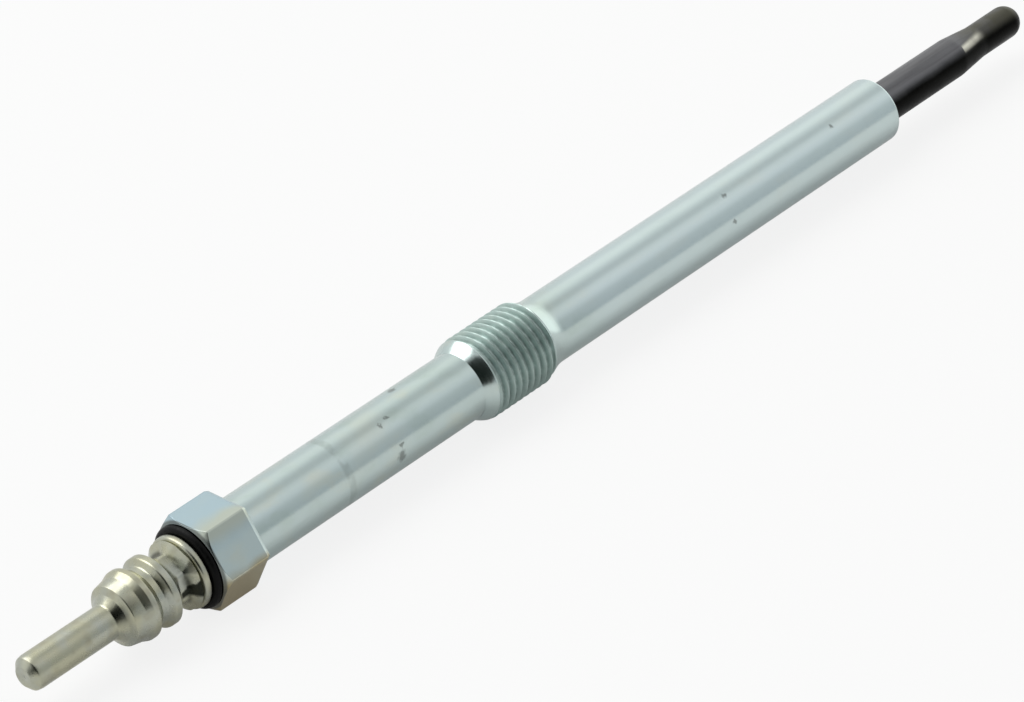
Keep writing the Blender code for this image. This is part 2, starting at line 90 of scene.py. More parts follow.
# Light tent. White cloth hangs all round the table, brightest high up behind the plug and beyond its tip,
# with a dark opening where the photographer stands: plated steel shows the opening as a dark patch on
# every slope that faces the lens.
class Value:
    """One socket of a node tree. Sums, products and powers of values add the tree's Math nodes."""

    def __init__(self, tree, socket=None):
        self.tree = tree
        self.socket = socket

    def node(self, kind, settings=None, inputs=None, output=0):
        """Add a node. Its settings are set first, then its sockets get numbers, colours or links."""
        made = self.tree.nodes.new(kind)
        for name, setting in (settings or {}).items():
            if name == "stops":
                while len(made.color_ramp.elements) < len(setting):
                    made.color_ramp.elements.new(0.5)
                for element, (place, colour) in zip(made.color_ramp.elements, setting):
                    element.position = place
                    element.color = (*colour, 1.0)
            else:
                setattr(made, name, setting)
        for name, given in (inputs or {}).items():
            if isinstance(given, Value):
                self.tree.links.new(given.socket, made.inputs[name])
            elif isinstance(given, tuple) and len(given) != len(made.inputs[name].default_value):
                made.inputs[name].default_value = (*given, 1.0)
            else:
                made.inputs[name].default_value = given
        return Value(self.tree, made.outputs[output]) if made.outputs else None

    def math(self, operation, *terms):
        return self.node("ShaderNodeMath", {"operation": operation}, dict(enumerate(terms)))

    def __add__(self, other):
        return self.math("ADD", self, other)

    __radd__ = __add__

    def __sub__(self, other):
        return self.math("SUBTRACT", self, other)

    def __rsub__(self, other):
        return self.math("SUBTRACT", other, self)

    def __mul__(self, other):
        return self.math("MULTIPLY", self, other)

    __rmul__ = __mul__

    def __pow__(self, other):
        return self.math("POWER", self, other)

    def turn(self, other):
        """The angle, in radians, that has this value for its sine and the other for its cosine."""
        return self.math("ARCTAN2", self, other)

    def fade(self, start, end, low=0.0, high=1.0):
        """A smooth step from low, where this value is at start, to high, where it is at end."""
        levels = {"Value": self, "From Min": start, "From Max": end, "To Min": low, "To Max": high}
        return self.node("ShaderNodeMapRange", {"interpolation_type": "SMOOTHSTEP"}, levels)

    def band(self, first_edge, last_edge):
        """1 between two edges and 0 outside them. Each edge is a fade's start and end, outside first."""
        return self.fade(*first_edge) * self.fade(*last_edge)

    def tint(self, first, second):
        """The first colour where this value is 0, the second where it is 1."""
        sockets = {0: self, 6: first, 7: second}
        return self.node("ShaderNodeMix", {"data_type": "RGBA"}, sockets, output=2)

    def axes(self):
        """The three parts of a place or a direction, as values."""
        parts = self.node("ShaderNodeSeparateXYZ", inputs={0: self}).socket.node.outputs
        return [Value(self.tree, part) for part in parts]


# The cloth's colours go round the plug's axis: 0 is level with it behind, 0.5 overhead and 1 in front.
TENT_BANDS = [
    (0.00, (0.80, 0.82, 0.82)),
    (0.15, (0.86, 0.88, 0.88)),
    (0.24, (1.02, 1.03, 1.00)),
    (0.33, (0.98, 1.00, 0.97)),
    (0.41, (0.76, 0.78, 0.78)),
    (0.48, (0.60, 0.62, 0.62)),
    (0.54, (0.66, 0.68, 0.68)),
    (0.64, (0.86, 0.87, 0.87)),
    (0.73, (0.78, 0.80, 0.82)),
    (0.82, (0.58, 0.61, 0.62)),
    (1.00, (0.50, 0.53, 0.55)),
]
END_WALL = (1.30, 1.34, 1.30)
END_WALL_EDGE = (0.72, 0.88)
OPENING = (0.010, 0.014, 0.012)
OPENING_EDGE = (math.cos(math.radians(43.0)), math.cos(math.radians(37.0)))
world = bpy.data.worlds.new("light_tent")
world.use_nodes = True
world.node_tree.nodes.clear()
sky = Value(world.node_tree)
towards = sky.node("ShaderNodeTexCoord", output="Generated")
to_tip, to_back, height = towards.axes()
round_plug = (0.0 - to_back).turn(height) * (1 / math.pi) + 0.5
cloth = sky.node("ShaderNodeValToRGB", {"stops": TENT_BANDS}, {"Fac": round_plug})
cloth = to_tip.fade(*END_WALL_EDGE).tint(cloth, END_WALL)
lens = {0: towards, 1: toward_camera[:]}
facing = sky.node("ShaderNodeVectorMath", {"operation": "DOT_PRODUCT"}, lens, output="Value")
cloth = facing.fade(*OPENING_EDGE).tint(cloth, OPENING)
tent = sky.node("ShaderNodeBackground", inputs={"Color": cloth, "Strength": 1.0})
white = sky.node("ShaderNodeBackground", inputs={"Color": (1.0, 1.0, 1.0), "Strength": 1.0})
seen = sky.node("ShaderNodeLightPath", output="Is Camera Ray")
backdrop = sky.node("ShaderNodeMixShader", inputs={0: seen, 1: tent, 2: white})
sky.node("ShaderNodeOutputWorld", inputs={"Surface": backdrop})
bpy.context.scene.world = world


# Softbox. A square lamp hangs over the plug's far side. It leaves white patches on the shoulder and on the
# cap's rounded edges, and brightens the paper a little.
SOFTBOX_SIZE = 0.66
SOFTBOX_AT = Vector((-0.16, 0.41, 0.67))
SOFTBOX_POWER = 3.2
lamp_data = bpy.data.lights.new("overhead_softbox", "AREA")
lamp_data.size = SOFTBOX_SIZE
lamp_data.energy = SOFTBOX_POWER
lamp = bpy.data.objects.new("overhead_softbox", lamp_data)
lamp.location = SOFTBOX_AT
lamp.rotation_euler = (AIM - SOFTBOX_AT).to_track_quat("-Z", "Y").to_euler()
bpy.context.collection.objects.link(lamp)


# Paper floor. It is whitened for the lens, and a little for what the metal mirrors, as overexposed paper
# is, and it still takes the plug's soft shadow.
FLOOR_SIZE = 4.0
PAPER_WHITE = (0.76, 0.76, 0.75)
LENS_WHITENING = 0.84
MIRROR_WHITENING = 0.20
floor_mesh = bmesh.new()
bmesh.ops.create_grid(floor_mesh, x_segments=1, y_segments=1, size=FLOOR_SIZE / 2)
floor_data = bpy.data.meshes.new("paper_floor")
floor_mesh.to_mesh(floor_data)
floor_mesh.free()
floor = bpy.data.objects.new("paper_floor", floor_data)
bpy.context.collection.objects.link(floor)
paper = bpy.data.materials.new("white_paper")
paper.use_nodes = True
paper.node_tree.nodes.clear()
sheet = Value(paper.node_tree)
lit = sheet.node("ShaderNodeBsdfDiffuse", inputs={"Color": PAPER_WHITE})
glow = sheet.node("ShaderNodeEmission", inputs={"Color": (1.0, 1.0, 1.0), "Strength": 1.0})
seen = sheet.node("ShaderNodeLightPath", output="Is Camera Ray")
mirrored = sheet.node("ShaderNodeLightPath", output="Is Glossy Ray")
whitening = seen * LENS_WHITENING + mirrored * MIRROR_WHITENING
whitened = sheet.node("ShaderNodeMixShader", inputs={0: whitening, 1: lit, 2: glow})
sheet.node("ShaderNodeOutputMaterial", inputs={"Surface": whitened})
floor_data.materials.append(paper)


# Heating and regulating coils. Two coils of resistance wire are welded nose to tail between the centre
# rod and the sheath's tip. Like the other pieces that the sheath and the body hide, they keep the
# frame's own solids and only get a finish.
def new_surface(name):
    """An empty finish, as its material and the place on the piece that its patterns start from."""
    material = bpy.data.materials.new(name)
    material.use_nodes = True
    material.node_tree.nodes.clear()
    return material, Value(material.node_tree).node("ShaderNodeTexCoord", output="Object")


def lay_surface(place, sockets):
    """Close a finish with one shader, whose sockets get numbers, colours or values."""
    shader = place.node("ShaderNodeBsdfPrincipled", inputs=sockets)
    place.node("ShaderNodeOutputMaterial", inputs={"Surface": shader})


def grain(place, scale, detail=2.0, stretch=(1.0, 1.0, 1.0)):
    """Cloudy noise with so many clouds a metre, drawn out along the axes by the stretch."""
    drawn = place.node("ShaderNodeVectorMath", {"operation": "DIVIDE"}, {0: place, 1: stretch})
    return place.node("ShaderNodeTexNoise", inputs={"Vector": drawn, "Scale": scale, "Detail": detail})


def raised(height, distance):
    """A surface whose height follows the value, over the distance given."""
    return height.node("ShaderNodeBump", inputs={"Height": height, "Distance": distance})


def finish(node, material):
    """Give one of the frame's own solids its finish."""
    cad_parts[node].data.materials.clear()
    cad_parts[node].data.materials.append(material)


DRAWN_WIRE = ((0.40, 0.36, 0.32), (0.24, 0.23, 0.25))
wire_material, place = new_surface("resistance_wire")
scale_marks = grain(place, 2600.0)
lay_surface(place, {
    "Base Color": scale_marks.fade(0.35, 0.65).tint(*DRAWN_WIRE),
    "Metallic": 1.0,
    "Roughness": scale_marks.fade(0.3, 0.7, 0.30, 0.48),
    "Normal": raised(scale_marks, 0.00001),
})
finish("heating_coil", wire_material)
finish("regulating_coil", wire_material)


# Magnesia filling. White insulating powder, poured into the sheath round the coils and pressed hard when
# the sheath is swaged.
POWDER = ((0.80, 0.79, 0.75), (0.66, 0.66, 0.63))
powder_material, place = new_surface("pressed_magnesia")
grains = grain(place, 5200.0, 4.0)
lay_surface(place, {
    "Base Color": grains.fade(0.35, 0.7).tint(*POWDER),
    "Roughness": 0.92,
    "Normal": raised(grains, 0.00003),
})
finish("magnesia_filling", powder_material)


# Centre rod. Drawn steel, crimped in the cap at its rear end. Its front part is turned thinner to enter
# the sheath, where its nose is welded to the regulating coil.
ROD_STEEL = ((0.46, 0.45, 0.43), (0.36, 0.36, 0.36))
rod_material, place = new_surface("drawn_rod_steel")
drawing_lines = grain(place, 2400.0, 3.0, stretch=(30.0, 1.0, 1.0))
lay_surface(place, {
    "Base Color": drawing_lines.fade(0.35, 0.7).tint(*ROD_STEEL),
    "Metallic": 1.0,
    "Roughness": drawing_lines.fade(0.3, 0.7, 0.24, 0.40),
    "Normal": raised(drawing_lines, 0.000008),
})
finish("centre_rod", rod_material)


# Seals. Moulded rubber: a plug in the sheath's rear end keeps damp out of the powder, and a ring below
# the washer's spigot keeps it out of the body.
SEAL_RUBBER = ((0.030, 0.030, 0.030), (0.050, 0.049, 0.047))
rubber_material, place = new_surface("seal_rubber")
bloom = grain(place, 1800.0, 3.0)
lay_surface(place, {
    "Base Color": bloom.fade(0.4, 0.7).tint(*SEAL_RUBBER),
    "Roughness": bloom.fade(0.3, 0.7, 0.62, 0.78),
    "Normal": raised(bloom, 0.00002),
})
finish("element_seal", rubber_material)
finish("body_seal_ring", rubber_material)


# Glow tube. A sheath of dark heat-proof nickel alloy, drawn from tube, swaged down to a slimmer round
# tip and pressed into the body's front end. Its tip is brownish, its taper has a painted highlight on one
# side, and painted shade darkens its lower half.
def rounded(corners, steps=4):
    """An outline through (place, radius, rounding) corners, each rounded to a true arc.

    The corners go round: the last one counts as the one before the first.
    """
    points = []
    for i, (place, radius, rounding) in enumerate(corners):
        corner = Vector((place, radius))
        if not rounding:
            points.append(corner)
            continue
        back = (Vector(corners[i - 1][:2]) - corner).normalized()
        ahead = (Vector(corners[(i + 1) % len(corners)][:2]) - corner).normalized()
        half_angle = back.angle(ahead) / 2
        reach = rounding / math.tan(half_angle)
        pull = math.sin(half_angle)
        ends = (corner + back * reach, corner, corner + ahead * reach)
        for step in range(steps + 1):
            t = step / steps
            shares = ((1 - t) ** 2, 2 * t * (1 - t) * pull, t ** 2)
            blend = sum((end * share for end, share in zip(ends, shares)), Vector((0, 0)))
            points.append(blend / sum(shares))
    return [tuple(point) for point in points]


ON_AXIS = 1e-9
SHARP_EDGE = math.radians(40.0)


def turn_piece(name, outline, angles, node, material):
    """Lathe a piece from its outline at each angle, and put it in its node's place.

    The outline closes on the axis or on itself. Places in it run along the plug from the pin's end, and
    angles run from +Y towards +Z.
    """
    bm = bmesh.new()
    middle = Vector((PIN_END, 0.0, AXIS_HEIGHT))
    columns = []
    for angle in angles:
        outwards = Vector((0.0, math.cos(angle), math.sin(angle)))
        columns.append([
            bm.verts.new(middle + along_plug * place + outwards * radius)
            for place, radius in outline(angle)
        ])
    on_axis = outline(angles[0])[0][1] < ON_AXIS
    for this, following in zip(columns, columns[1:] + columns[:1]):
        rows = list(zip(this, this[1:], following[1:], following))
        if not on_axis:
            rows.append((this[-1], this[0], following[0], following[-1]))
        for corners in rows:
            bm.faces.new(corners)
    if on_axis:
        for row in (0, -1):
            ends = [column[row] for column in columns]
            bmesh.ops.pointmerge(bm, verts=ends, merge_co=ends[0].co)
    bmesh.ops.recalc_face_normals(bm, faces=bm.faces)
    mesh = bpy.data.meshes.new(name)
    bm.to_mesh(mesh)
    bm.free()
    mesh.shade_smooth()
    mesh.set_sharp_from_angle(angle=SHARP_EDGE)
    mesh.materials.append(material)
    piece = bpy.data.objects.new(name, mesh)
    bpy.context.collection.objects.link(piece)
    flats = piece.modifiers.new("even_flats", "WEIGHTED_NORMAL")
    flats.keep_sharp = True
    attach(piece, "root")
    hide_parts(node)
    return piece


def all_round(count):
    """Evenly spaced angles round the plug."""
    return [2 * math.pi * i / count for i in range(count)]


tube_low, tube_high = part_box("glow_tube")
TUBE_DIAMETER = tube_high.z - tube_low.z
TIP_DIAMETER = 0.00408
TUBE_WALL = 0.0004
TAPER_LENGTH = 0.0046
SLIM_LENGTH = 0.0078
SWAGE_ROUNDING = 0.006
SWAGE_STEPS = 6
DOME_STEPS = 10
TUBE_COLUMNS = 96
tube_start = tube_low.x - PIN_END
tube_end = tube_high.x - PIN_END
taper_end = tube_end - SLIM_LENGTH
taper_start = taper_end - TAPER_LENGTH
dome_at = tube_end - TIP_DIAMETER / 2


def dome(radius):
    """The quarter round of the tip, from its side to just short of the axis."""
    angles = [math.radians(90.0) * i / DOME_STEPS for i in range(DOME_STEPS)]
    return [(dome_at + radius * math.sin(a), radius * math.cos(a)) for a in angles]


sleeve = rounded([
    (tube_start, TUBE_DIAMETER / 2, 0.0),
    (taper_start, TUBE_DIAMETER / 2, SWAGE_ROUNDING),
    (taper_end, TIP_DIAMETER / 2, SWAGE_ROUNDING),
    (dome_at, TIP_DIAMETER / 2, 0.0),
], SWAGE_STEPS)[:-1]
tube_inside = [(place, radius - TUBE_WALL) for place, radius in sleeve]
tube_inside += dome(TIP_DIAMETER / 2 - TUBE_WALL) + [(tube_end - TUBE_WALL, 0.0)]
tube_outline = tube_inside[::-1] + sleeve + dome(TIP_DIAMETER / 2) + [(tube_end, 0.0)]

DARK_ALLOY = ((0.165, 0.163, 0.172), (0.125, 0.123, 0.130))
PAINTED_SHADE_ALLOY = (0.0015, 0.0015, 0.001)
BURNT_TIP = (0.092, 0.088, 0.068)
BURNT_EDGE = (taper_start, taper_start + 0.004)
PAINTED_HIGHLIGHT_TIP = (0.86, 0.83, 0.72)
PAINTED_HIGHLIGHT_AT = taper_end - 0.0042
PAINTED_HIGHLIGHT_PLACES = ((PAINTED_HIGHLIGHT_AT - 0.0002, PAINTED_HIGHLIGHT_AT), (PAINTED_HIGHLIGHT_AT + 0.0048, PAINTED_HIGHLIGHT_AT + 0.0026))
PAINTED_HIGHLIGHT_LEVELS = ((0.42, 0.56), (0.82, 0.66))
PAINTED_HIGHLIGHT_SIDE = (0.0, -0.0008)
PAINTED_SHADE_LEVELS = (0.94, 0.40)
PAINTED_SHADE_RAGGEDNESS = 0.16
sheath_material, place = new_surface("dark_heat_proof_alloy")
along, across, up = place.axes()
from_pin = along - PIN_END
drawing_lines = grain(place, 1500.0, 3.0, stretch=(25.0, 1.0, 1.0))
clouds = grain(place, 420.0, 4.0)
alloy = drawing_lines.fade(0.35, 0.7).tint(*DARK_ALLOY)
burnt = from_pin.fade(*BURNT_EDGE) * clouds.fade(0.25, 0.6, 0.5, 1.0)
alloy = burnt.tint(alloy, BURNT_TIP)
level = (up - AXIS_HEIGHT) * (2 / TUBE_DIAMETER)
# Painted highlight: a pale patch on the upper, near side of the taper.
painted_highlight = from_pin.band(*PAINTED_HIGHLIGHT_PLACES) * level.band(*PAINTED_HIGHLIGHT_LEVELS)
painted_highlight = painted_highlight * across.fade(*PAINTED_HIGHLIGHT_SIDE) * clouds.fade(0.20, 0.55, 0.55, 1.0)
alloy = painted_highlight.tint(alloy, PAINTED_HIGHLIGHT_TIP)
# Painted shade: below a ragged line a little above the axis, the sheath is painted near black.
painted_shade_below = (level + clouds * PAINTED_SHADE_RAGGEDNESS).fade(*PAINTED_SHADE_LEVELS)
lay_surface(place, {
    "Base Color": painted_shade_below.tint(alloy, PAINTED_SHADE_ALLOY),
    "Metallic": 1.0,
    "Roughness": clouds.fade(0.3, 0.7, 0.30, 0.42),
    "Normal": raised(drawing_lines, 0.000008),
})
turn_piece(
    "dark_sheath", lambda angle: tube_outline, all_round(TUBE_COLUMNS),
    "glow_tube", sheath_material,
)


# Plug body. One piece of free-cutting steel, turned from hexagon bar and bored through: rear hexagon,
# long shank, smooth shoulder, rolled M10 x 1 thread, fillet and front shank, all plated with bluish zinc.
FIT_GAP = 0.0001
BODY_START = body_low.x - PIN_END
BODY_END = body_high.x - PIN_END
HEX_FLAT_RADIUS = (body_high.z - body_low.z) / 2
HEX_END = BODY_START + 0.0062
HEX_FACE_RADIUS = 0.0049
HEX_FACE_ROUNDING = 0.00008
HEX_REAR_SLOPE = math.tan(math.radians(38.0))
HEX_REAR_ROUNDING = 0.00006
HEX_FRONT_CHAMFER = 0.00020
HEX_FRONT_CHAMFER_LENGTH = 0.00048
HEX_FRONT_ROUNDING = 0.00012
HEX_CORNER_ROUNDING = 0.00025
HEX_CORNER_SPREAD = math.radians(1.6)
HEX_FLAT_COLUMNS = 16
SHANK_RADIUS = 0.004035
SHANK_ROOT_ROUNDING = 0.00025
RING_MARK_AT = 0.0432
RING_MARK_WIDTH = 0.00016
RING_MARK_DEPTH = 0.000015
SHOULDER_START = 0.06375
SHOULDER_LENGTH = 0.0021
THREAD_START = SHOULDER_START + 0.0014
THREAD_END = 0.0743
THREAD_PITCH = 0.0010
THREAD_RADIUS = 0.0050
THREAD_DEPTH = 0.6134 * THREAD_PITCH
THREAD_FADE = 0.0004
ROOT_HALF_WIDTH = THREAD_PITCH / 8
FLANK_WIDTH = THREAD_DEPTH * math.tan(math.radians(30.0))
ROWS_PER_PITCH = 24
FILLET_RISE = 0.00075
FILLET_END = 0.0771
FILLET_CURVE = 1.8
NOSE_CHAMFER = 0.00035
NOSE_ROUNDING = 0.00035
NOSE_FACE_ROUNDING = 0.00015
PRESS_MOUTH_ROUNDING = 0.00012
PRESS_RADIUS = TUBE_DIAMETER / 2 + FIT_GAP
PRESS_START = tube_start - FIT_GAP
SEAT_RADIUS = 0.0030
SEAT_END = BODY_START + 0.0036
REAR_BORE_RADIUS = 0.00195
FRONT_BORE_RADIUS = 0.0031
BORE_STEP = FRONT_BORE_RADIUS - REAR_BORE_RADIUS


def smooth(t):
    """A smooth rise from 0 to 1."""
    t = min(max(t, 0.0), 1.0)
    return t * t * (3 - 2 * t)


def hexagon_radius(angle):
    """Distance from the axis to the hexagon's side, whose six corners are slightly rounded."""
    off_flat = (angle - math.pi / 2 + math.pi / 6) % (math.pi / 3) - math.pi / 6
    off_corner = math.pi / 6 - abs(off_flat)
    centre = (HEX_FLAT_RADIUS - HEX_CORNER_ROUNDING) / math.cos(math.pi / 6)
    aside = centre * math.sin(off_corner)
    if aside >= HEX_CORNER_ROUNDING / 2:
        return HEX_FLAT_RADIUS / math.cos(off_flat)
    return centre * math.cos(off_corner) + math.sqrt(HEX_CORNER_ROUNDING ** 2 - aside ** 2)


def thread_radius(place, angle):
    """Distance from the axis on the shoulder, the right-hand thread and the fillet."""
    t = min((place - SHOULDER_START) / SHOULDER_LENGTH, 1.0)
    outside = SHANK_RADIUS + (THREAD_RADIUS - SHANK_RADIUS) * (1.5 * t - 0.5 * t ** 3)
    if place > THREAD_END:
        t = (place - THREAD_END) / (FILLET_END - THREAD_END)
        outside = SHANK_RADIUS + FILLET_RISE * (1 - t) ** FILLET_CURVE
    turns = place / THREAD_PITCH - angle / (2 * math.pi)
    from_groove = abs(turns % 1.0 - 0.5) * THREAD_PITCH
    groove = 1 - smooth((from_groove - ROOT_HALF_WIDTH / 2) / (FLANK_WIDTH + ROOT_HALF_WIDTH))
    # The groove deepens out of the shoulder and dies away in the fillet.
    run_in = smooth((place - THREAD_START) / THREAD_FADE)
    run_out = smooth((THREAD_END - place) / THREAD_FADE + 1.0)
    return outside - THREAD_DEPTH * groove * run_in * run_out


def body_outline(angle):
    """Outside from the rear face to the front face, then back through the stepped bore."""
    side = hexagon_radius(angle)
    rear_slope_end = BODY_START + (side - HEX_FACE_RADIUS) * HEX_REAR_SLOPE
    hexagon_and_shank = rounded([
        (BODY_START, SEAT_RADIUS, 0.0),
        (BODY_START, HEX_FACE_RADIUS, HEX_FACE_ROUNDING),
        (rear_slope_end, side, HEX_REAR_ROUNDING),
        (HEX_END - HEX_FRONT_CHAMFER_LENGTH, side, HEX_FRONT_ROUNDING),
        (HEX_END, side - HEX_FRONT_CHAMFER, HEX_FRONT_ROUNDING),
        (HEX_END, SHANK_RADIUS, SHANK_ROOT_ROUNDING),
        (RING_MARK_AT, SHANK_RADIUS, 0.0),
        (RING_MARK_AT + RING_MARK_WIDTH / 2, SHANK_RADIUS - RING_MARK_DEPTH, 0.0),
        (RING_MARK_AT + RING_MARK_WIDTH, SHANK_RADIUS, 0.0),
    ])
    run = FILLET_END - SHOULDER_START
    rows = round(run / THREAD_PITCH * ROWS_PER_PITCH)
    places = [SHOULDER_START + run * i / rows for i in range(rows)]
    thread = [(place, thread_radius(place, angle)) for place in places]
    front_and_bore = rounded([
        (FILLET_END, SHANK_RADIUS, 0.0),
        (BODY_END - NOSE_CHAMFER, SHANK_RADIUS, NOSE_ROUNDING),
        (BODY_END, SHANK_RADIUS - NOSE_CHAMFER, NOSE_FACE_ROUNDING),
        (BODY_END, PRESS_RADIUS, PRESS_MOUTH_ROUNDING),
        (PRESS_START, PRESS_RADIUS, 0.0),
        (PRESS_START, FRONT_BORE_RADIUS, 0.0),
        (THREAD_END + BORE_STEP, FRONT_BORE_RADIUS, 0.0),
        (THREAD_END, REAR_BORE_RADIUS, 0.0),
        (SEAT_END, REAR_BORE_RADIUS, 0.0),
        (SEAT_END, SEAT_RADIUS, 0.0),
    ])
    return hexagon_and_shank + thread + front_and_bore


def off_axis(across, up):
    """Distance from the plug's axis, as a value."""
    return (across ** 2.0 + (up - AXIS_HEIGHT) ** 2.0) ** 0.5


# The mesh has more columns at the hexagon's corners than on its flats.
hexagon_angles = []
flat_spread = math.pi / 3 - 2 * HEX_CORNER_SPREAD
for side in range(6):
    corner = math.pi / 2 + math.pi / 6 + side * math.pi / 3
    hexagon_angles += [corner + HEX_CORNER_SPREAD * i / 2 for i in range(-2, 3)]
    flat_start = corner + HEX_CORNER_SPREAD
    hexagon_angles += [flat_start + flat_spread * i / HEX_FLAT_COLUMNS for i in range(1, HEX_FLAT_COLUMNS)]

# Plating: clouds of green, yellow and dull zinc on blue, with a painted highlight brightening the front
# shank.
BLUE_ZINC = (0.555, 0.645, 0.64)
GREEN_ZINC = (0.57, 0.67, 0.635)
YELLOW_ZINC = (0.63, 0.65, 0.55)
PAINTED_HIGHLIGHT_ZINC = (0.64, 0.735, 0.755)
DULL_ZINC = (0.48, 0.575, 0.53)
PAINTED_HIGHLIGHT_EDGE = (THREAD_END, THREAD_END + 0.012)
zinc_material, place = new_surface("bluish_zinc_plate")
along, across, up = place.axes()
from_pin = along - PIN_END
bloom = grain(place, 60.0, 3.0, stretch=(3.0, 1.0, 1.0))
shimmer = grain(place, 170.0, 2.0)
patches = grain(place, 330.0, 4.0, stretch=(2.0, 1.0, 1.0))
stains = grain(place, 900.0, 4.0)
lathe_lines = grain(place, 9000.0, 1.0, stretch=(1.0, 60.0, 60.0))
plate = bloom.fade(0.35, 0.65).tint(BLUE_ZINC, GREEN_ZINC)
plate = (shimmer.fade(0.50, 0.80) * 0.35).tint(plate, YELLOW_ZINC)
plate = (patches.fade(0.50, 0.70) * 0.55).tint(plate, DULL_ZINC)
plate = (patches.fade(0.45, 0.28) * 0.40).tint(plate, YELLOW_ZINC)

# Darker ring on the rear shank, over the turned ring mark.
DARK_RING_ZINC = (0.30, 0.345, 0.32)
DARK_RING_PLACES = (
    (RING_MARK_AT - 0.0006, RING_MARK_AT - 0.0002),
    (RING_MARK_AT + 0.0008, RING_MARK_AT + 0.0004),
)
dark_ring = from_pin.band(*DARK_RING_PLACES) * stains.fade(0.35, 0.60, 0.06, 0.36)
plate = dark_ring.tint(plate, DARK_RING_ZINC)
# Painted highlight: the shank is tinted brighter forward of the thread.
plate = (from_pin.fade(*PAINTED_HIGHLIGHT_EDGE) * 0.65).tint(plate, PAINTED_HIGHLIGHT_ZINC)

# The hexagon is coloured by height above the table: a painted reflection makes it blue on top and brown
# low down, and it is straw along the top's front edge. Its rear rim has painted shade against the washer.
PAINTED_REFLECTION_BLUE = (0.40, 0.53, 0.61)
PAINTED_BLUE_HEIGHTS = (0.0072, 0.0094)
FLAT_STRAW = (0.56, 0.56, 0.43)
STRAW_HEIGHTS = (0.0080, 0.0096)
STRAW_SIDE = (-0.0006, -0.0026)
PAINTED_REFLECTION_BROWN = (0.42, 0.355, 0.205)
PAINTED_BROWN_HEIGHTS = (0.0058, 0.0044)
PAINTED_SHADE_RIM = (0.13, 0.14, 0.13)
PAINTED_SHADE_RIM_EDGE = (BODY_START + 0.00035, BODY_START + 0.00015)
on_hexagon = from_pin.fade(HEX_END, HEX_END - 0.0002)
cloudy_up = up + (shimmer - 0.5) * 0.004
cloudy_across = across + (shimmer - 0.5) * 0.003
# Painted reflection: blue on the upper flats, brown on the lower ones.
painted_blue_top = on_hexagon * cloudy_up.fade(*PAINTED_BLUE_HEIGHTS)
straw_edge = on_hexagon * up.fade(*STRAW_HEIGHTS) * cloudy_across.fade(*STRAW_SIDE)
painted_brown_below = on_hexagon * cloudy_up.fade(*PAINTED_BROWN_HEIGHTS)
plate = (painted_blue_top * 0.75).tint(plate, PAINTED_REFLECTION_BLUE)
plate = (straw_edge * 0.65).tint(plate, FLAT_STRAW)
plate = painted_brown_below.tint(plate, PAINTED_REFLECTION_BROWN)
# Painted shade on the rear rim, where it meets the washer.
plate = (from_pin.fade(*PAINTED_SHADE_RIM_EDGE) * 0.85).tint(plate, PAINTED_SHADE_RIM)

# Thread: greener and duller than the shanks, with dirt in its grooves.
THREAD_ZINC = (0.42, 0.53, 0.50)
THREAD_PLACES = ((THREAD_START - 0.0002, THREAD_START + 0.0004), (THREAD_END + 0.0003, THREAD_END))
GROOVE_DIRT = (0.20, 0.25, 0.24)
GROOVE_EDGE = (THREAD_RADIUS - 0.0002, THREAD_RADIUS - THREAD_DEPTH)
on_thread = from_pin.band(*THREAD_PLACES)
dulled = on_thread * (bloom * 0.6 + stains * 0.7).fade(0.3, 0.9, 0.35, 0.9)
plate = dulled.tint(plate, THREAD_ZINC)
from_axis = off_axis(across, up)
in_groove = on_thread * from_axis.fade(*GROOVE_EDGE) * stains.fade(0.3, 0.6)
plate = (in_groove * 0.6).tint(plate, GROOVE_DIRT)

# Ragged smudges on the shanks, each by its place, its angle in degrees and its radius.
SMUDGE = (0.13, 0.14, 0.13)
SMUDGES = [
    (0.0499, 123.0, 0.00046),
    (0.0511, 118.0, 0.00038),
    (0.0551, 74.0, 0.00070),
    (0.0510, 166.0, 0.00040),
    (0.0507, 184.0, 0.00080),
    (0.1062, 120.0, 0.00036),
    (0.1056, 166.0, 0.00032),
    (0.1252, 123.0, 0.00040),
]
ragged = (grain(place, 2400.0, 3.0) - 0.5) * 0.0011
for smudge_at, smudge_angle, smudge_radius in SMUDGES:
    ends = {0: place, 1: (
        PIN_END + smudge_at,
        SHANK_RADIUS * math.cos(math.radians(smudge_angle)),
        AXIS_HEIGHT + SHANK_RADIUS * math.sin(math.radians(smudge_angle)),
    )}
    away = place.node("ShaderNodeVectorMath", {"operation": "DISTANCE"}, ends, output="Value")
    smudged = (away + ragged).fade(smudge_radius, smudge_radius * 0.3)
    plate = (smudged * 0.65).tint(plate, SMUDGE)
lay_surface(place, {
    "Base Color": plate,
    "Metallic": 1.0,
    "Roughness": lathe_lines.fade(0.2, 0.8, 0.17, 0.25) + on_thread * 0.27,
    "Normal": raised(lathe_lines, 0.000004),
})
turn_piece(
    "zinc_plated_body", body_outline, hexagon_angles,
    "plug_body", zinc_material,
)


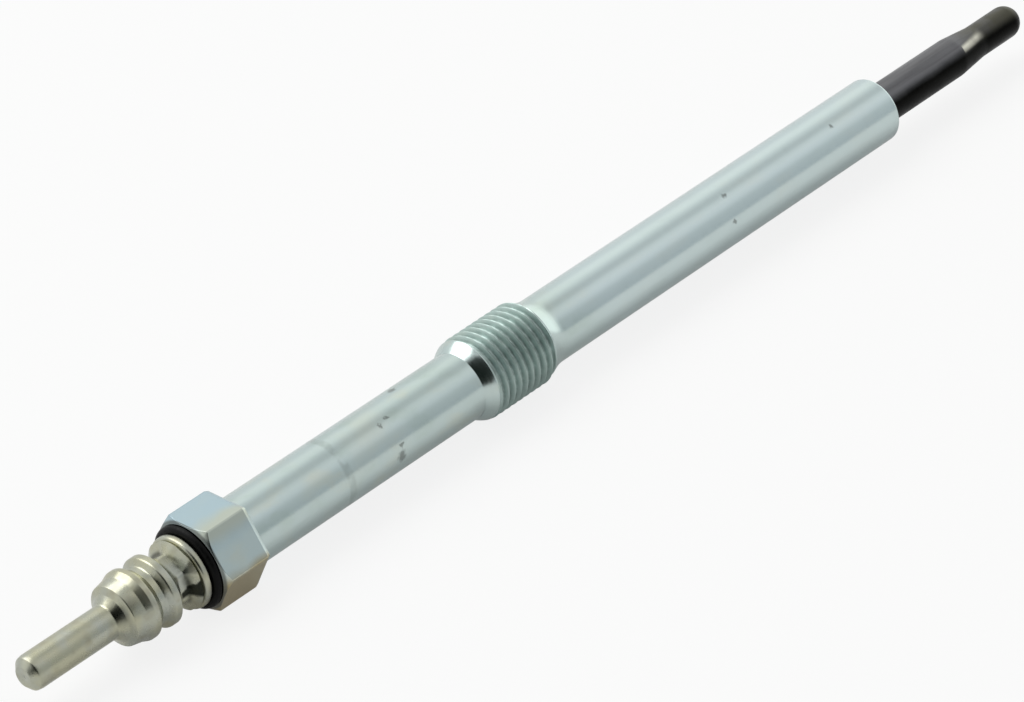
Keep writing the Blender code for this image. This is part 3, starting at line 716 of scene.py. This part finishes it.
# Insulating washer. Black moulded plastic with a rounded rear edge, clamped between the hexagon and the
# cap's flange. Its spigot centres it in the body's seat.
washer_low, washer_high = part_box("insulating_washer")
WASHER_START = washer_low.x - PIN_END
WASHER_END = BODY_START - FIT_GAP
WASHER_RADIUS = (washer_high.z - washer_low.z) / 2
WASHER_REAR_ROUNDING = 0.00055
WASHER_FRONT_ROUNDING = 0.00012
WASHER_STEPS = 6
WASHER_COLUMNS = 96
SPIGOT_END = washer_high.x - PIN_END
SPIGOT_RADIUS = SEAT_RADIUS - FIT_GAP
SPIGOT_ROUNDING = 0.00015
ROD_HOLE_RADIUS = 0.00175
washer_outline = rounded([
    (WASHER_START, ROD_HOLE_RADIUS, 0.0),
    (WASHER_START, WASHER_RADIUS, WASHER_REAR_ROUNDING),
    (WASHER_END, WASHER_RADIUS, WASHER_FRONT_ROUNDING),
    (WASHER_END, SPIGOT_RADIUS, 0.0),
    (SPIGOT_END, SPIGOT_RADIUS, SPIGOT_ROUNDING),
    (SPIGOT_END, ROD_HOLE_RADIUS, 0.0),
], WASHER_STEPS)
BLACK_PLASTIC = ((0.002, 0.002, 0.002), (0.004, 0.004, 0.004))
plastic_material, place = new_surface("black_moulded_plastic")
pores = grain(place, 3800.0, 3.0)
lay_surface(place, {
    "Base Color": pores.fade(0.4, 0.7).tint(*BLACK_PLASTIC),
    "Roughness": pores.fade(0.3, 0.7, 0.38, 0.55),
    "Specular IOR Level": 0.12,
    "Normal": raised(pores, 0.00001),
})
turn_piece(
    "black_washer", lambda angle: washer_outline, all_round(WASHER_COLUMNS),
    "insulating_washer", plastic_material,
)


# Terminal cap. Turned from steel with a plain contact pin, a collar and two ridges that the connector's
# seal grips, crimped on the rod by six jaws at its waist, and plated with nickel that has gone olive.
CAP_LENGTH = cap_high.x - cap_low.x
DIMPLE_DEPTH = 0.00010
DIMPLE_FLOOR_RADIUS = 0.00012
DIMPLE_RADIUS = 0.00030
PIN_RADIUS = 0.0020
PIN_FACE_EDGE = (0.0, PIN_RADIUS - 0.00085, 0.00015)
PIN_NOSE = (0.00065, PIN_RADIUS - 0.00010, 0.00030)
PIN_NOSE_END = 0.0012
PIN_LENGTH = 0.0113
PIN_ROOT_ROUNDING = 0.0004
COLLAR_FOOT = (0.0121, 0.00275, 0.0003)
COLLAR_START = (0.0125, 0.0035, 0.00018)
COLLAR_END = (0.0139, 0.00377, 0.0008)
RIDGE_RADIUS = 0.0041
REAR_RIDGE = (0.0147, 0.0153)
GROOVE_RADIUS = 0.0034
GROOVE = (0.0161, 0.0169)
FRONT_RIDGE = (0.0174, 0.0182)
RIDGE_ROUNDING = 0.0003
JAWS_END = 0.0213
JAW_ANGLE = math.radians(54.5)
WAIST_CURVE = [(0.0182, 0.00410), (0.0188, 0.00340), (0.0194, 0.00305), (0.0203, 0.00305), (0.0213, 0.00425)]
JAW_CURVE = [
    (0.0182, 0.00415), (0.0189, 0.00290), (0.0193, 0.00272),
    (0.0203, 0.00272), (0.0212, 0.00400), (0.0213, 0.00425),
]
WAIST_ROWS = 24
FLANGE_RADIUS = (cap_high.z - cap_low.z) / 2
FLANGE_REAR_ROUNDING = 0.00032
FLANGE_FRONT_ROUNDING = 0.00020
CAP_BORE_START = CAP_LENGTH - 0.0072
DRILL_POINT_LENGTH = ROD_HOLE_RADIUS / math.tan(math.radians(59.0))
CAP_COLUMNS = 120


def read_curve(curve, place):
    """The radius at a place on a curve of straight runs."""
    for (start_place, start_radius), (end_place, end_radius) in zip(curve, curve[1:]):
        if place <= end_place:
            share = (place - start_place) / (end_place - start_place)
            return start_radius + (end_radius - start_radius) * share
    return curve[-1][1]


def cap_outline(angle):
    """Outside from the pin's end face to the flange, then back through the blind bore for the rod."""
    pin_and_ridges = rounded([
        (DIMPLE_DEPTH, 0.0, 0.0),
        (DIMPLE_DEPTH, DIMPLE_FLOOR_RADIUS, 0.0),
        (0.0, DIMPLE_RADIUS, 0.0),
        PIN_FACE_EDGE,
        PIN_NOSE,
        (PIN_NOSE_END, PIN_RADIUS, 0.0),
        (PIN_LENGTH, PIN_RADIUS, PIN_ROOT_ROUNDING),
        COLLAR_FOOT,
        COLLAR_START,
        COLLAR_END,
        (REAR_RIDGE[0], RIDGE_RADIUS, RIDGE_ROUNDING),
        (REAR_RIDGE[1], RIDGE_RADIUS, RIDGE_ROUNDING),
        (GROOVE[0], GROOVE_RADIUS, RIDGE_ROUNDING),
        (GROOVE[1], GROOVE_RADIUS, RIDGE_ROUNDING),
        (FRONT_RIDGE[0], RIDGE_RADIUS, RIDGE_ROUNDING),
        (FRONT_RIDGE[1], RIDGE_RADIUS, 0.0),
    ])
    waist = []
    off_jaw = (angle - math.pi / 2 - JAW_ANGLE) % (math.pi / 3) - math.pi / 6
    for i in range(1, WAIST_ROWS):
        place = FRONT_RIDGE[1] + (JAWS_END - FRONT_RIDGE[1]) * i / WAIST_ROWS
        jaw = read_curve(JAW_CURVE, place) / math.cos(off_jaw)
        waist.append((place, min(read_curve(WAIST_CURVE, place), jaw)))
    flange = rounded([
        (JAWS_END, FLANGE_RADIUS, FLANGE_REAR_ROUNDING),
        (CAP_LENGTH, FLANGE_RADIUS, FLANGE_FRONT_ROUNDING),
        (CAP_LENGTH, ROD_HOLE_RADIUS, 0.0),
    ])
    bore = [(CAP_BORE_START, ROD_HOLE_RADIUS), (CAP_BORE_START - DRILL_POINT_LENGTH, 0.0)]
    return pin_and_ridges + waist + flange + bore


# Plating: olive and grey clouds with brown stains. Dirt and painted shade darken the crimp, and painted
# shade darkens one of its corners and the pin's root on the near side. Angles round the cap are in degrees.
OLIVE_PLATE = (0.47, 0.46, 0.34)
GREY_PLATE = (0.45, 0.465, 0.41)
BROWN_PLATE = (0.36, 0.33, 0.24)
DIRT_AND_PAINTED_SHADE = (0.006, 0.008, 0.005)
CRIMP_RADII = (0.0034, 0.0029)
CRIMP_EDGE = (0.0195, 0.0206)
CORNER_PLACES = ((0.0191, 0.0195), (0.0216, 0.0212))
CORNER_ANGLES = ((168.0, 174.0), (199.0, 191.0))
CORNER_SLANT_AT = 0.0208
CORNER_SLANT = 8000.0
ROOT_PLACES = ((PIN_LENGTH - 0.0002, PIN_LENGTH), (PIN_LENGTH + 0.0012, PIN_LENGTH + 0.0007))
ROOT_ANGLES = ((112.0, 132.0), (184.0, 150.0))
nickel_material, place = new_surface("olive_nickel_plate")
along, across, up = place.axes()
from_pin = along - PIN_END
from_axis = off_axis(across, up)
round_cap = 180.0 - (up - AXIS_HEIGHT).turn(0.0 - across) * (180 / math.pi)
clouds = grain(place, 260.0, 4.0)
stains = grain(place, 700.0, 5.0)
scratches = grain(place, 2600.0, 2.0, stretch=(12.0, 1.0, 1.0))
plate = clouds.fade(0.35, 0.65).tint(OLIVE_PLATE, GREY_PLATE)
plate = (stains.fade(0.52, 0.75) * 0.5).tint(plate, BROWN_PLATE)
# Dirt and painted shade darken the crimp's hollows.
crimp_dirt_and_shade = from_axis.fade(*CRIMP_RADII) * from_pin.fade(*CRIMP_EDGE)
plate = (crimp_dirt_and_shade * stains.fade(0.35, 0.55, 0.1, 0.8)).tint(plate, DIRT_AND_PAINTED_SHADE)
ragged = (stains - 0.5) * 24.0
slanted = round_cap + ragged + (from_pin - CORNER_SLANT_AT) * CORNER_SLANT
# Painted shade: a near-black patch in one corner of the crimp, on the near side.
painted_corner_shade = slanted.fade(*CORNER_ANGLES[0]) * (round_cap + ragged * 0.4).fade(*CORNER_ANGLES[1])
painted_corner_shade = painted_corner_shade * from_pin.band(*CORNER_PLACES)
# Painted shade at the pin's root, on the near side.
painted_root_shade = from_pin.band(*ROOT_PLACES) * (round_cap + ragged).band(*ROOT_ANGLES)
plate = (painted_corner_shade * 0.95).tint(plate, DIRT_AND_PAINTED_SHADE)
plate = (painted_root_shade * 0.6).tint(plate, DIRT_AND_PAINTED_SHADE)
lay_surface(place, {
    "Base Color": plate,
    "Metallic": 1.0,
    "Roughness": stains.fade(0.3, 0.7, 0.25, 0.36),
    "Normal": raised(scratches, 0.00001),
})
turn_piece(
    "terminal", cap_outline, all_round(CAP_COLUMNS),
    "terminal_cap", nickel_material,
)
